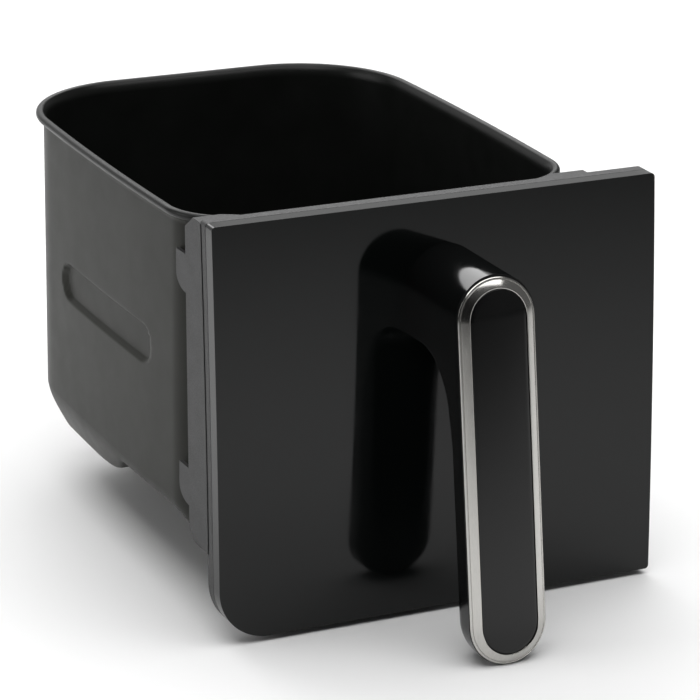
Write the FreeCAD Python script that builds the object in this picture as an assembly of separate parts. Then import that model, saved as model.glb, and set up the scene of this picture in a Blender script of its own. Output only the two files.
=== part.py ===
"""Drawer of a two-drawer air fryer: coated steel pan, front panel with its frame, handle, crisper plate.

Millimetres, +Z up, the front panel faces -Y. The pan's floor stands on z = 0. The model is built round a
datum on the middle of the panel's width (x) and the panel's lower front edge (y), and is moved at the end
so that its origin is the middle of the underside of its bounding box.
"""
import FreeCAD, Part
import math
import os

V = FreeCAD.Vector

# front panel
PANEL_WIDTH = 190.0
PANEL_HEIGHT = 165.7        # vertical height of the panel's front
PANEL_LIFT = 2.4            # the panel's lower edge above the table
PANEL_LEAN = 8.77           # how far the top edge sits behind the lower edge
PANEL_BULGE = 1.05          # the front is slightly convex from top to bottom
PANEL_THICK = 6.0
PANEL_SKIN = 3.0
PANEL_CORNER_R = 21.0       # the one rounded corner, lower left

# frame behind the panel
FLANGE_DEPTH = 5.0
FRAME_WALL = 2.4
WEB_THICK = 2.4
COLLAR_LEFT = -95.0
COLLAR_RIGHT = 72.5
COLLAR_BACK_LOW = 29.4      # back edge of the deep side walls at the table's height
COLLAR_BACK_RISE = 0.0316   # it moves back this much per millimetre of height
COLLAR_BOTTOM = 35.3
COLLAR_SIDE = 13.0          # width of each hollow side
COLLAR_CUT_Z = 161.5        # above this the back edge slopes forward
COLLAR_CUT = 9.5            # how far forward that slope brings it
COLLAR_CLEAR = 0.7          # between the collar and the pan's rim
TAB_THICK = 1.7
TAB_REACH = 9.6
TAB_HEIGHT = 9.0            # straight part of a tab's back edge
TAB_TOPS = (150.2, 63.9)

# pan
PAN_LEFT = -95.6            # centre line of the rim's bead
PAN_RIGHT = 70.2
PAN_FRONT = 25.8
PAN_BACK = 230.7
PAN_FRONT_R = 25.0
PAN_BACK_R = 48.5
PAN_SIDE_BOW = 1.2
RIM_Z = 164.0
BEAD_R = 1.7
SHEET = 1.0
WALL_INSET = 1.5            # outer face of the wall, inside the bead's centre line
WALL_FOOT = 41.7            # the straight wall ends here and the tapered foot begins
FOOT_TAPER = ((0.0, 41.7), (4.0, 34.0), (10.5, 22.5), (21.0, 9.0), (28.5, 2.0), (33.5, 0.0))  # inset, z
MIN_CORNER_R = 5.0
RIB_LENGTH = 97.0
RIB_HEIGHT = 16.5
RIB_DEPTH = 1.8
RIB_CENTRE_Y = 119.8
RIB_CENTRE_Z = 100.6

# scoops pressed into both lower sides of the pan: high in front, lower towards the back
SCOOP_FRONT = 42.0
SCOOP_BACK = 245.0          # past the pan's back, so the scoop runs out through it
SCOOP_TOP = 41.1            # height of the high part's ceiling at the pan's wall
SCOOP_HIGH_BACK = 104.0     # the high ceiling runs level to here and then curves down
SCOOP_CURVE_MID = (121.0, 31.0)
SCOOP_LOW_START = (150.0, 25.3)
SCOOP_LOW_Z = 24.0          # height of the low part's ceiling at its back end
SCOOP_START = 6.0           # the cut begins this far outside the wall
SCOOP_RUN = 55.0            # how far inside the wall it ends
SCOOP_SLOPE = 0.78          # the ceiling falls inward by this much per millimetre

# handle
HANDLE_X = 1.6
BAR_WIDTH = 33.0
BAR_TOP = 150.1
BAR_FOOT_Y = -56.0          # the bar's front face at the table's height
BAR_LEAN_DEG = 8.12         # the bar's top leans back towards the panel
BAR_THICK = 15.0
NECK_TOP = 150.8
NECK_BOTTOM = 117.3
NECK_ARCH_R = 22.0
SHELL_WALL = 2.5
RING_WIDTH = 4.5
RING_HEIGHT = 2.6
INSERT_GAP = 0.15
INSERT_CROWN = 0.7
CARRIER_THICK = 2.0
CORE_THICK = 2.5
CORE_WIDTH = 18.0
BOLT_R = 2.5
BOLT_ZS = (127.0, 142.0)

# steel parts between the frame and the pan
BRACKET_FOOT_Y = 20.4
BRACKET_SHEET = 1.2
BRACKET_HALF = 46.0
BRACKET_FOOT = 13.0
BRACKET_LOW = 62.0
BRACKET_HIGH = 152.0
PAD_Y = 21.8
PAD_THICK = 2.4
SHIELD_THICK = 0.6

# crisper plate
PLATE_Z = 47.8              # the plate stands on the pan's sloping foot with its four bumpers
PLATE_THICK = 1.2
PLATE_GAP = 3.6             # between the plate's edge and the pan's inner wall
PLATE_SKIRT = 5.0
SLOT_PITCH = 14.0
SLOT_LENGTH = 9.0
SLOT_WIDTH = 3.6
FINGER_HOLE_R = 12.0
SLOT_COLUMNS = 4            # slots on each side of the plate's middle line
SLOT_ROWS = 5               # slots before and behind its middle
BUMPER_WIDTH = 16.0
BUMPER_PROUD = 3.0          # how far a bumper stands out of the plate's skirt
BUMPER_WRAP = 3.4           # how far it reaches inside
BUMPER_LAP = 0.8            # how far it laps over the plate and under the skirt
BUMPERS = ((-1, 58.0, 0.0), (-1, 182.0, 0.6), (1, 58.0, 0.0), (1, 182.0, 0.6))  # side, y, extra length below

# fasteners
SCREW_R = 1.5
SCREW_HEAD_R = 3.0
SCREW_HEAD_HIGH = 2.0
BRACKET_SCREW_REACH = 4.8   # how deep the bracket's screws sit in the frame's bosses
WASHER_THICK = 1.0
BOLT_SEAT_Y = 18.6
BOLT_HEAD_R = 4.25
BOLT_HEAD_HIGH = 3.6
WASHER_R = 5.5
BOSS_GAP = 0.7              # between the panel's screw bosses and the frame's web
HEAD_SINK = 0.9             # how deep the panel screws' heads sit in the frame's web
HEAD_PLAY = 0.3             # around a screw head in its recess
PANEL_BOSS_R = 3.2
PANEL_BOLT_BOSS_R = 6.5
FRAME_BOLT_BOSS_R = 8.0
BRACKET_BOSS_R = 5.0
CARRIER_BOSS_R = 4.0
CARRIER_HEAD_SINK = 1.2
BOLT_CLEARANCE_R = 7.0      # hole in the pad and the shield round a handle bolt
PANEL_SCREWS = ((-86.0, 40.0), (-86.0, 145.0), (85.0, 18.0), (85.0, 145.0), (-60.0, 16.0), (-40.0, 155.0),
                (45.0, 155.0), (20.0, 16.0))
CARRIER_SCREWS = (45.0, 85.0, 125.0)

# inside of the handle
POCKET_DEPTH = 9.5
POCKET_LOW = 12.0
CORE_DEPTH = 4.5
CORE_LOW = 34.0
DUCT_HALF = 10.5
DUCT_FRONT_Y = -38.0
DUCT_LOW = 120.5
DUCT_HIGH = 144.5
ROOT_WALL_Y = 0.0

PAN_MID_X = (PAN_LEFT + PAN_RIGHT) / 2
WALL_FRONT_Y = PAN_FRONT + WALL_INSET
LEAN = math.radians(BAR_LEAN_DEG)
BAR_UP = V(0, math.sin(LEAN), math.cos(LEAN))
BAR_OUT = V(0, -math.cos(LEAN), math.sin(LEAN))
BAR_LENGTH = BAR_TOP / math.cos(LEAN)
BRACKET_X = PAN_MID_X
BRACKET_SCREW_X = BRACKET_HALF + BRACKET_FOOT / 2
BRACKET_SCREWS = [(BRACKET_X + side * BRACKET_SCREW_X, z) for side in (-1, 1) for z in (72.0, 142.0)]
PLATE_INSET = WALL_INSET + SHEET + PLATE_GAP


# ---- general helpers -------------------------------------------------------------------------------

def box(low, high):
    """A box between two corners."""
    return Part.makeBox(high[0] - low[0], high[1] - low[1], high[2] - low[2], V(*low))


def arc_through(first, middle, last):
    return Part.Arc(first, middle, last).toShape()


def line(first, last):
    return Part.LineSegment(first, last).toShape()


def prism(points, direction):
    """A closed polygon through the points, extruded along the direction."""
    return Part.Face(Part.makePolygon(points + [points[0]])).extrude(direction)


def panel_front_y(z):
    """Y of the panel's convex front at a height above the table."""
    t = (z - PANEL_LIFT) / PANEL_HEIGHT
    return PANEL_LEAN * t - 4 * PANEL_BULGE * t * (1 - t)


def panel_layer(near, far, x_low, x_high, z_low, z_high):
    """A slab that follows the panel's front, from `near` to `far` millimetres behind it."""
    z_mid = (z_low + z_high) / 2

    def at(depth, z):
        return V(x_low, panel_front_y(z) + depth, z)

    edges = [
        arc_through(at(near, z_low), at(near, z_mid), at(near, z_high)),
        line(at(near, z_high), at(far, z_high)),
        arc_through(at(far, z_high), at(far, z_mid), at(far, z_low)),
        line(at(far, z_low), at(near, z_low)),
    ]
    return Part.Face(Part.Wire(edges)).extrude(V(x_high - x_low, 0, 0))


def panel_outline_prism(inset, y_low, y_high):
    """The panel's front-view outline, drawn in by `inset`, as a prism along Y."""
    left = -PANEL_WIDTH / 2 + inset
    right = PANEL_WIDTH / 2 - inset
    low = PANEL_LIFT + inset
    high = PANEL_LIFT + PANEL_HEIGHT - inset
    r = PANEL_CORNER_R - inset
    k = r * (1 - math.sqrt(0.5))
    edges = [
        line(V(left + r, y_low, low), V(right, y_low, low)),
        line(V(right, y_low, low), V(right, y_low, high)),
        line(V(right, y_low, high), V(left, y_low, high)),
        line(V(left, y_low, high), V(left, y_low, low + r)),
        arc_through(V(left, y_low, low + r), V(left + k, y_low, low + k), V(left + r, y_low, low)),
    ]
    return Part.Face(Part.Wire(edges)).extrude(V(0, y_high - y_low, 0))


# ---- pan outline -----------------------------------------------------------------------------------

def bowed_side_centre(c1, r1, c2, r2, bow):
    """Centre and radius of a long arc that touches both corner circles from outside."""
    span = (c2 - c1).Length
    big = span * span / (8 * bow)
    d1 = big - r1
    d2 = big - r2
    along = (d1 * d1 - d2 * d2 + span * span) / (2 * span)
    across = math.sqrt(d1 * d1 - along * along)
    u = (c2 - c1) / span
    inward = V(u.y, -u.x, 0)
    return c1 + u * along + inward * across, big


def pan_outline(inset, z):
    """The pan's outline as a wire at height z, drawn in by `inset` from the bead's centre line."""
    left = PAN_LEFT + inset
    right = PAN_RIGHT - inset
    front = PAN_FRONT + inset
    back = PAN_BACK - inset
    rf = max(PAN_FRONT_R - inset, MIN_CORNER_R)
    rb = max(PAN_BACK_R - inset, MIN_CORNER_R)
    corners = {
        "fl": (V(left + rf, front + rf, 0), rf),
        "bl": (V(left + rb, back - rb, 0), rb),
        "br": (V(right - rb, back - rb, 0), rb),
        "fr": (V(right - rf, front + rf, 0), rf),
    }
    edges = []
    lift = V(0, 0, z)

    def side(a, b):
        """The bowed long side from corner a to corner b, and its end points."""
        (c1, r1), (c2, r2) = corners[a], corners[b]
        centre, big = bowed_side_centre(c1, r1, c2, r2, PAN_SIDE_BOW)
        p1 = centre + (c1 - centre).normalize() * big
        p2 = centre + (c2 - centre).normalize() * big
        middle = centre + ((p1 + p2) / 2 - centre).normalize() * big
        edges.append(arc_through(p1 + lift, middle + lift, p2 + lift))
        return p1, p2

    def corner(name, start, end):
        centre, r = corners[name]
        middle = centre + ((start + end) / 2 - centre).normalize() * r
        edges.append(arc_through(start + lift, middle + lift, end + lift))

    left_front, left_back = side("fl", "bl")
    right_back, right_front = side("br", "fr")
    back_left = corners["bl"][0] + V(0, rb, 0)
    back_right = corners["br"][0] + V(0, rb, 0)
    front_right = corners["fr"][0] - V(0, rf, 0)
    front_left = corners["fl"][0] - V(0, rf, 0)
    corner("bl", left_back, back_left)
    edges.append(line(back_left + lift, back_right + lift))
    corner("br", back_right, right_back)
    corner("fr", right_front, front_right)
    edges.append(line(front_right + lift, front_left + lift))
    corner("fl", front_left, left_front)
    return Part.Wire(Part.__sortEdges__(edges))


def pan_prism(inset, z_low, z_high):
    return Part.Face(pan_outline(inset, z_low)).extrude(V(0, 0, z_high - z_low))


def stadium_bar(length, height, depth, centre_y, centre_z, x):
    """A bar along Y with round ends and a stadium section in the YZ plane, from x over `depth`."""
    r = height / 2
    half = length / 2 - r
    edges = [
        line(V(x, centre_y - half, centre_z + r), V(x, centre_y + half, centre_z + r)),
        arc_through(V(x, centre_y + half, centre_z + r), V(x, centre_y + half + r, centre_z),
                    V(x, centre_y + half, centre_z - r)),
        line(V(x, centre_y + half, centre_z - r), V(x, centre_y - half, centre_z - r)),
        arc_through(V(x, centre_y - half, centre_z - r), V(x, centre_y - half - r, centre_z),
                    V(x, centre_y - half, centre_z + r)),
    ]
    return Part.Face(Part.Wire(edges)).extrude(V(depth, 0, 0))


def scoop(side, grow):
    """Tool for one side's scoop: what lies under both an arch along Y and a plane that falls inward."""
    wall_x = PAN_MID_X + side * (PAN_RIGHT - PAN_MID_X - WALL_INSET)
    start = V(wall_x + side * SCOOP_START, 0, 0)

    def at(y, z):
        return start + V(0, y, z)

    edges = [
        line(at(SCOOP_FRONT, -6), at(SCOOP_FRONT + 1, 28)),
        arc_through(at(SCOOP_FRONT + 1, 28), at(SCOOP_FRONT + 3.2, 37.5), at(SCOOP_FRONT + 9, SCOOP_TOP)),
        line(at(SCOOP_FRONT + 9, SCOOP_TOP), at(SCOOP_HIGH_BACK, SCOOP_TOP)),
        arc_through(at(SCOOP_HIGH_BACK, SCOOP_TOP), at(*SCOOP_CURVE_MID), at(*SCOOP_LOW_START)),
        line(at(*SCOOP_LOW_START), at(SCOOP_BACK, SCOOP_LOW_Z)),
        line(at(SCOOP_BACK, SCOOP_LOW_Z), at(SCOOP_BACK, -6)),
        line(at(SCOOP_BACK, -6), at(SCOOP_FRONT, -6)),
    ]
    arch = Part.Face(Part.Wire(edges))
    if grow:
        arch = arch.makeOffset2D(grow)
    arch = arch.extrude(V(-side * (SCOOP_START + SCOOP_RUN + grow), 0, 0))
    rise = grow * math.hypot(1, SCOOP_SLOPE)
    outer_z = SCOOP_TOP + SCOOP_SLOPE * SCOOP_START + rise
    inner = V(-side * (SCOOP_START + SCOOP_RUN + grow), SCOOP_FRONT - 10, 0)
    wedge = prism([start + V(0, SCOOP_FRONT - 10, -8), start + V(0, SCOOP_FRONT - 10, outer_z),
                   start + inner + V(0, 0, outer_z - SCOOP_SLOPE * (SCOOP_START + SCOOP_RUN + grow)),
                   start + inner + V(0, 0, -8)],
                  V(0, SCOOP_BACK - SCOOP_FRONT + 20, 0))
    return arch.common(wedge)


def pan_body(extra):
    """The pan's filled form; `extra` is 0 for the outside and the sheet thickness for the inside."""
    inset = WALL_INSET + extra
    upper = pan_prism(inset, WALL_FOOT, RIM_Z + (BEAD_R if extra else 0.0))
    rings = [pan_outline(inset + step, z + extra * (1 if z < WALL_FOOT else 0)) for step, z in FOOT_TAPER]
    body = upper.fuse(Part.makeLoft(rings, True, True))
    for side in (-1, 1):
        wall_x = PAN_MID_X + side * (PAN_RIGHT - PAN_MID_X - WALL_INSET)
        rib_x = wall_x - side * (RIB_DEPTH + extra)
        body = body.cut(stadium_bar(RIB_LENGTH + 2 * extra, RIB_HEIGHT + 2 * extra, side * 8,
                                    RIB_CENTRE_Y, RIB_CENTRE_Z, rib_x))
        body = body.cut(scoop(side, extra))
    return body


# ---- handle outlines -------------------------------------------------------------------------------

def on_bar(x, along, out):
    """A point of the bar's own frame: x across, `along` up the bar from its foot, `out` from its face."""
    return V(HANDLE_X + x, BAR_FOOT_Y, 0) + BAR_UP * along + BAR_OUT * out


def bar_stadium(inset, out, low=0.0):
    """The bar's round-ended outline, drawn in by `inset`, at a height `out` over its face."""
    r = BAR_WIDTH / 2 - inset
    bottom = low + inset + r
    top = BAR_LENGTH - inset - r
    edges = [
        line(on_bar(-r, bottom, out), on_bar(-r, top, out)),
        arc_through(on_bar(-r, top, out), on_bar(0, top + r, out), on_bar(r, top, out)),
        line(on_bar(r, top, out), on_bar(r, bottom, out)),
        arc_through(on_bar(r, bottom, out), on_bar(0, bottom - r, out), on_bar(-r, bottom, out)),
    ]
    return Part.Wire(edges)


def bar_prism(inset, out_low, out_high, low=0.0):
    return Part.Face(bar_stadium(inset, out_low, low)).extrude(BAR_OUT * (out_high - out_low))


def bar_rod(radius, x, along, out_low, out_high):
    """A round rod square to the bar's face."""
    return Part.makeCylinder(radius, out_high - out_low, on_bar(x, along, out_low), BAR_OUT)


def rod_y(radius, x, z, y_low, y_high):
    return Part.makeCylinder(radius, y_high - y_low, V(x, y_low, z), V(0, 1, 0))


# ---- sub-parts -------------------------------------------------------------------------------------

def make_pan():
    shell = pan_body(0.0).cut(pan_body(SHEET))
    path = pan_outline(0.0, RIM_Z)
    first = path.Edges[0]
    start = first.valueAt(first.FirstParameter)
    along = first.tangentAt(first.FirstParameter)
    ring = Part.Wire(Part.makeCircle(BEAD_R, start, along))
    bead = path.makePipeShell([ring], True, False)
    return shell.fuse(bead).removeSplitter()


def make_collar_side(outer_x, inner_x):
    """One hollow side of the frame's collar, cut back to the pan's rounded corner."""
    side = 1 if outer_x > inner_x else -1
    x_low, x_high = sorted((outer_x, inner_x))

    def block(shrink, outline_gap):
        low = COLLAR_BOTTOM + shrink
        high = PANEL_LIFT + PANEL_HEIGHT - shrink
        back = COLLAR_BACK_LOW - shrink
        profile = [
            V(x_low, panel_front_y(low) + PANEL_THICK + FLANGE_DEPTH - 1, low),
            V(x_low, back - 5, low),
            V(x_low, back - 1 + COLLAR_BACK_RISE * low, low + 4),
            V(x_low, back + COLLAR_BACK_RISE * (low + 9), low + 9),
            V(x_low, back + COLLAR_BACK_RISE * COLLAR_CUT_Z, COLLAR_CUT_Z - shrink),
            V(x_low, back + COLLAR_BACK_RISE * high - COLLAR_CUT, high),
            V(x_low, panel_front_y(high) + PANEL_THICK + FLANGE_DEPTH - 1, high),
        ]
        solid = prism(profile, V(x_high - x_low, 0, 0))
        return solid.cut(pan_prism(-(BEAD_R + COLLAR_CLEAR + outline_gap), 0, 200))

    hollow = block(FRAME_WALL, FRAME_WALL)
    reach = FRAME_WALL if side > 0 else -FRAME_WALL
    hollow.translate(V(-reach, 0, 0))
    return block(0.0, 0.0).cut(hollow)


def make_tab(outer_x, side, top):
    """A thin retaining tab behind the collar's side wall, with a curved lower edge."""
    edge = COLLAR_BACK_LOW + COLLAR_BACK_RISE * top
    x = outer_x if side < 0 else outer_x - TAB_THICK
    root = edge - 4
    low = top - TAB_HEIGHT - 6.5
    edges = [
        line(V(x, root, top), V(x, edge + TAB_REACH, top)),
        line(V(x, edge + TAB_REACH, top), V(x, edge + TAB_REACH, top - TAB_HEIGHT)),
        arc_through(V(x, edge + TAB_REACH, top - TAB_HEIGHT), V(x, edge + 0.62 * TAB_REACH, low + 2.2),
                    V(x, edge - 0.5, low)),
        line(V(x, edge - 0.5, low), V(x, root, low)),
        line(V(x, root, low), V(x, root, top)),
    ]
    return Part.Face(Part.Wire(edges)).extrude(V(TAB_THICK, 0, 0))


def make_panel_frame():
    z_low = PANEL_LIFT
    z_high = PANEL_LIFT + PANEL_HEIGHT
    half = PANEL_WIDTH / 2
    back = PANEL_THICK + FLANGE_DEPTH
    dish = panel_layer(PANEL_THICK, back, -half, half, z_low, z_high)
    dish = dish.common(panel_outline_prism(0, -5, 40))
    hollow = panel_layer(PANEL_THICK - 1, back - WEB_THICK, -half, half, z_low, z_high)
    frame = dish.cut(hollow.common(panel_outline_prism(FRAME_WALL, -5, 40)))
    frame = frame.fuse(make_collar_side(COLLAR_LEFT, COLLAR_LEFT + COLLAR_SIDE))
    frame = frame.fuse(make_collar_side(COLLAR_RIGHT, COLLAR_RIGHT - COLLAR_SIDE))
    for top in TAB_TOPS:
        frame = frame.fuse(make_tab(COLLAR_LEFT, -1, top))
        frame = frame.fuse(make_tab(COLLAR_RIGHT, 1, top))
    for x, z in BRACKET_SCREWS:
        frame = frame.fuse(rod_y(BRACKET_BOSS_R, x, z, panel_front_y(z) + back - 1, BRACKET_FOOT_Y))
        frame = frame.cut(rod_y(SCREW_R, x, z, BRACKET_FOOT_Y - BRACKET_SCREW_REACH, BRACKET_FOOT_Y + 1))
    for z in BOLT_ZS:
        frame = frame.fuse(rod_y(FRAME_BOLT_BOSS_R, HANDLE_X, z, panel_front_y(z) + back - 1, BOLT_SEAT_Y))
    for z in BOLT_ZS:
        frame = frame.cut(rod_y(BOLT_R, HANDLE_X, z, 0, BOLT_SEAT_Y + 5))
    for x, z in PANEL_SCREWS:
        seat = panel_front_y(z) + back
        frame = frame.cut(rod_y(SCREW_R, x, z, 0, seat + 5))
        frame = frame.cut(rod_y(SCREW_HEAD_R + HEAD_PLAY, x, z, seat - HEAD_SINK, seat + 5))
    return frame.removeSplitter()


def make_front_panel():
    z_low = PANEL_LIFT
    z_high = PANEL_LIFT + PANEL_HEIGHT
    half = PANEL_WIDTH / 2
    slab = panel_layer(0, PANEL_THICK, -half, half, z_low, z_high)
    slab = slab.common(panel_outline_prism(0, -5, 40))
    hollow = panel_layer(PANEL_SKIN, PANEL_THICK + 1, -half, half, z_low, z_high)
    panel = slab.cut(hollow.common(panel_outline_prism(FRAME_WALL, -5, 40)))
    web_front = PANEL_THICK + FLANGE_DEPTH - WEB_THICK - BOSS_GAP
    for x, z in PANEL_SCREWS:
        front = panel_front_y(z)
        panel = panel.fuse(rod_y(PANEL_BOSS_R, x, z, front + PANEL_SKIN - 0.5, front + web_front))
        panel = panel.cut(rod_y(SCREW_R, x, z, front + PANEL_SKIN, front + web_front + 1))
    for z in BOLT_ZS:
        front = panel_front_y(z)
        panel = panel.fuse(rod_y(PANEL_BOLT_BOSS_R, HANDLE_X, z, front + PANEL_SKIN - 0.5, front + web_front))
    for z in BOLT_ZS:
        panel = panel.cut(rod_y(BOLT_R, HANDLE_X, z, -5, 30))
    return panel.removeSplitter()


def make_panel_screws():
    screws = []
    for x, z in PANEL_SCREWS:
        seat = panel_front_y(z) + PANEL_THICK + FLANGE_DEPTH - HEAD_SINK
        tip = panel_front_y(z) + PANEL_SKIN + 0.5
        shank = rod_y(SCREW_R, x, z, tip, seat)
        screws.append(shank.fuse(rod_y(SCREW_HEAD_R, x, z, seat, seat + SCREW_HEAD_HIGH)))
    return Part.makeCompound(screws)


def handle_profile():
    """Side profile of neck and bar in the YZ plane at the handle's left side."""
    x = HANDLE_X - BAR_WIDTH / 2

    def bar(along, out):
        point = on_bar(0, along, out)
        return V(x, point.y, point.z)

    root_y = panel_front_y(NECK_TOP)
    neck_low_y = panel_front_y(NECK_BOTTOM)
    back_out = -BAR_THICK
    foot = bar(0, 0)
    foot_flat = foot + V(0, 6, 0)
    foot_up = bar(14, back_out)
    tangent_along = (NECK_BOTTOM - NECK_ARCH_R) / math.cos(LEAN)
    arch_low = bar(tangent_along, back_out)
    arch_top = V(x, arch_low.y + NECK_ARCH_R + 1, NECK_BOTTOM)
    arch_mid = V(x, arch_low.y + 0.293 * NECK_ARCH_R + 1, NECK_BOTTOM - 0.293 * NECK_ARCH_R)
    shoulder = bar(BAR_LENGTH - 1.5, 0)
    top_front = V(x, shoulder.y + 6, NECK_TOP)
    edges = [
        line(foot, shoulder),
        arc_through(shoulder, V(x, shoulder.y + 2.2, NECK_TOP - 0.45), top_front),
        line(top_front, V(x, root_y, NECK_TOP)),
        arc_through(V(x, root_y, NECK_TOP), V(x, panel_front_y((NECK_TOP + NECK_BOTTOM) / 2),
                                              (NECK_TOP + NECK_BOTTOM) / 2), V(x, neck_low_y, NECK_BOTTOM)),
        line(V(x, neck_low_y, NECK_BOTTOM), arch_top),
        arc_through(arch_top, arch_mid, arch_low),
        line(arch_low, foot_up),
        arc_through(foot_up, foot_up + V(0, -4.2, -9.6), foot_flat),
        line(foot_flat, foot),
    ]
    return Part.Face(Part.Wire(edges)).extrude(V(BAR_WIDTH, 0, 0))


def handle_front_outline():
    """The handle seen from the front, as a prism along Y."""
    r = BAR_WIDTH / 2
    left = HANDLE_X - r
    right = HANDLE_X + r
    y = BAR_FOOT_Y - 5
    edges = [
        line(V(left, y, r), V(left, y, NECK_TOP - r)),
        arc_through(V(left, y, NECK_TOP - r), V(HANDLE_X, y, NECK_TOP), V(right, y, NECK_TOP - r)),
        line(V(right, y, NECK_TOP - r), V(right, y, r)),
        arc_through(V(right, y, r), V(HANDLE_X, y, 0), V(left, y, r)),
    ]
    return Part.Face(Part.Wire(edges)).extrude(V(0, 90, 0))


def make_handle_shell():
    body = handle_profile().common(handle_front_outline())
    body = body.cut(bar_prism(SHELL_WALL - 0.4, -CARRIER_THICK, 5))
    body = body.cut(bar_prism(SHELL_WALL, -POCKET_DEPTH, 1, POCKET_LOW))
    duct = box((HANDLE_X - DUCT_HALF, DUCT_FRONT_Y, DUCT_LOW), (HANDLE_X + DUCT_HALF, ROOT_WALL_Y, DUCT_HIGH))
    body = body.cut(duct)
    for z in BOLT_ZS:
        body = body.cut(rod_y(BOLT_R, HANDLE_X, z, ROOT_WALL_Y - 1, 20))
    return body.removeSplitter()


def make_handle_core():
    half = CORE_WIDTH / 2
    low = CORE_LOW
    high = (DUCT_HIGH - 1.5) / math.cos(LEAN)
    plate = prism([on_bar(-half, low, -CORE_DEPTH), on_bar(half, low, -CORE_DEPTH),
                   on_bar(half, high, -CORE_DEPTH), on_bar(-half, high, -CORE_DEPTH)],
                  BAR_OUT * -CORE_THICK)
    top = DUCT_HIGH - 1.5
    start_y = on_bar(0, high, -CORE_DEPTH - CORE_THICK / 2).y
    leg = box((HANDLE_X - half, start_y, top - CORE_THICK), (HANDLE_X + half, ROOT_WALL_Y, top))
    end = box((HANDLE_X - half, ROOT_WALL_Y - 4, DUCT_LOW + 1), (HANDLE_X + half, ROOT_WALL_Y, top))
    core = plate.fuse(leg).fuse(end)
    for z in BOLT_ZS:
        core = core.cut(rod_y(BOLT_R, HANDLE_X, z, ROOT_WALL_Y - 5, 20))
    for along in CARRIER_SCREWS:
        core = core.cut(bar_rod(SCREW_R, 0, along, -20, 5))
    return core.removeSplitter()


def make_handle_carrier():
    plate = bar_prism(SHELL_WALL - 0.3, -CARRIER_THICK, 0)
    for along in CARRIER_SCREWS:
        plate = plate.fuse(bar_rod(CARRIER_BOSS_R, 0, along, -CORE_DEPTH, -CARRIER_THICK))
    for along in CARRIER_SCREWS:
        plate = plate.cut(bar_rod(SCREW_R, 0, along, -20, 5))
        plate = plate.cut(bar_rod(SCREW_HEAD_R, 0, along, -CARRIER_HEAD_SINK, 5))
    return plate.removeSplitter()


def make_carrier_screws():
    screws = []
    for along in CARRIER_SCREWS:
        shank = bar_rod(SCREW_R, 0, along, -CORE_DEPTH - CORE_THICK, -CARRIER_HEAD_SINK)
        screws.append(shank.fuse(bar_rod(SCREW_HEAD_R, 0, along, -CARRIER_HEAD_SINK, -0.1)))
    return Part.makeCompound(screws)


def make_handle_trim_ring():
    cone = Part.makeLoft([bar_stadium(0.3, 0), bar_stadium(RING_WIDTH - 0.4, RING_HEIGHT)], True, True)
    return cone.cut(bar_prism(RING_WIDTH, -1, RING_HEIGHT + 1))


def make_handle_insert():
    inset = RING_WIDTH + INSERT_GAP
    base = bar_prism(inset, 0, RING_HEIGHT - 0.2)
    crown = Part.makeLoft([bar_stadium(inset, RING_HEIGHT - 0.2),
                           bar_stadium(inset + 4, RING_HEIGHT - 0.2 + INSERT_CROWN)], True, True)
    return base.fuse(crown).removeSplitter()


def make_handle_bolts():
    bolts = []
    for z in BOLT_ZS:
        shank = rod_y(BOLT_R, HANDLE_X, z, ROOT_WALL_Y - 4, BOLT_SEAT_Y + WASHER_THICK)
        seat = BOLT_SEAT_Y + WASHER_THICK
        head = rod_y(BOLT_HEAD_R, HANDLE_X, z, seat, seat + BOLT_HEAD_HIGH)
        bolts.append(shank.fuse(head))
    return Part.makeCompound(bolts)


def make_handle_washers():
    washers = []
    for z in BOLT_ZS:
        disc = rod_y(WASHER_R, HANDLE_X, z, BOLT_SEAT_Y, BOLT_SEAT_Y + WASHER_THICK)
        washers.append(disc.cut(rod_y(BOLT_R, HANDLE_X, z, 0, 40)))
    return Part.makeCompound(washers)


def make_pan_bracket():
    """A top-hat section: a plate on the pan, two flanges forward and two feet on the frame's bosses."""
    x = BRACKET_X
    inner = BRACKET_HALF - BRACKET_SHEET
    bracket = box((x - BRACKET_HALF, WALL_FRONT_Y - BRACKET_SHEET, BRACKET_LOW),
                  (x + BRACKET_HALF, WALL_FRONT_Y, BRACKET_HIGH))
    for side in (-1, 1):
        near, far = sorted((x + side * inner, x + side * BRACKET_HALF))
        bracket = bracket.fuse(box((near, BRACKET_FOOT_Y, BRACKET_LOW), (far, WALL_FRONT_Y, BRACKET_HIGH)))
        near, far = sorted((x + side * inner, x + side * (BRACKET_HALF + BRACKET_FOOT)))
        bracket = bracket.fuse(box((near, BRACKET_FOOT_Y, BRACKET_LOW),
                                   (far, BRACKET_FOOT_Y + BRACKET_SHEET, BRACKET_HIGH)))
    for sx, sz in BRACKET_SCREWS:
        bracket = bracket.cut(rod_y(SCREW_R, sx, sz, 0, 25))
    return bracket.removeSplitter()


def make_bracket_screws():
    screws = []
    for x, z in BRACKET_SCREWS:
        seat = BRACKET_FOOT_Y + BRACKET_SHEET
        shank = rod_y(SCREW_R, x, z, BRACKET_FOOT_Y - BRACKET_SCREW_REACH, seat)
        screws.append(shank.fuse(rod_y(SCREW_HEAD_R, x, z, seat, seat + SCREW_HEAD_HIGH)))
    return Part.makeCompound(screws)


def inside_bracket(y_low, y_high):
    """A sheet between the bracket's flanges, with clearance holes round the handle bolts."""
    half = BRACKET_HALF - BRACKET_SHEET - 0.4
    sheet = box((BRACKET_X - half, y_low, BRACKET_LOW + 2), (BRACKET_X + half, y_high, BRACKET_HIGH - 2))
    for z in BOLT_ZS:
        sheet = sheet.cut(rod_y(BOLT_CLEARANCE_R, HANDLE_X, z, 0, y_high + 1))
    return sheet


def make_insulation_pad():
    return inside_bracket(PAD_Y, PAD_Y + PAD_THICK)


def make_heat_shield():
    return inside_bracket(PAD_Y + PAD_THICK, PAD_Y + PAD_THICK + SHIELD_THICK)


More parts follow.
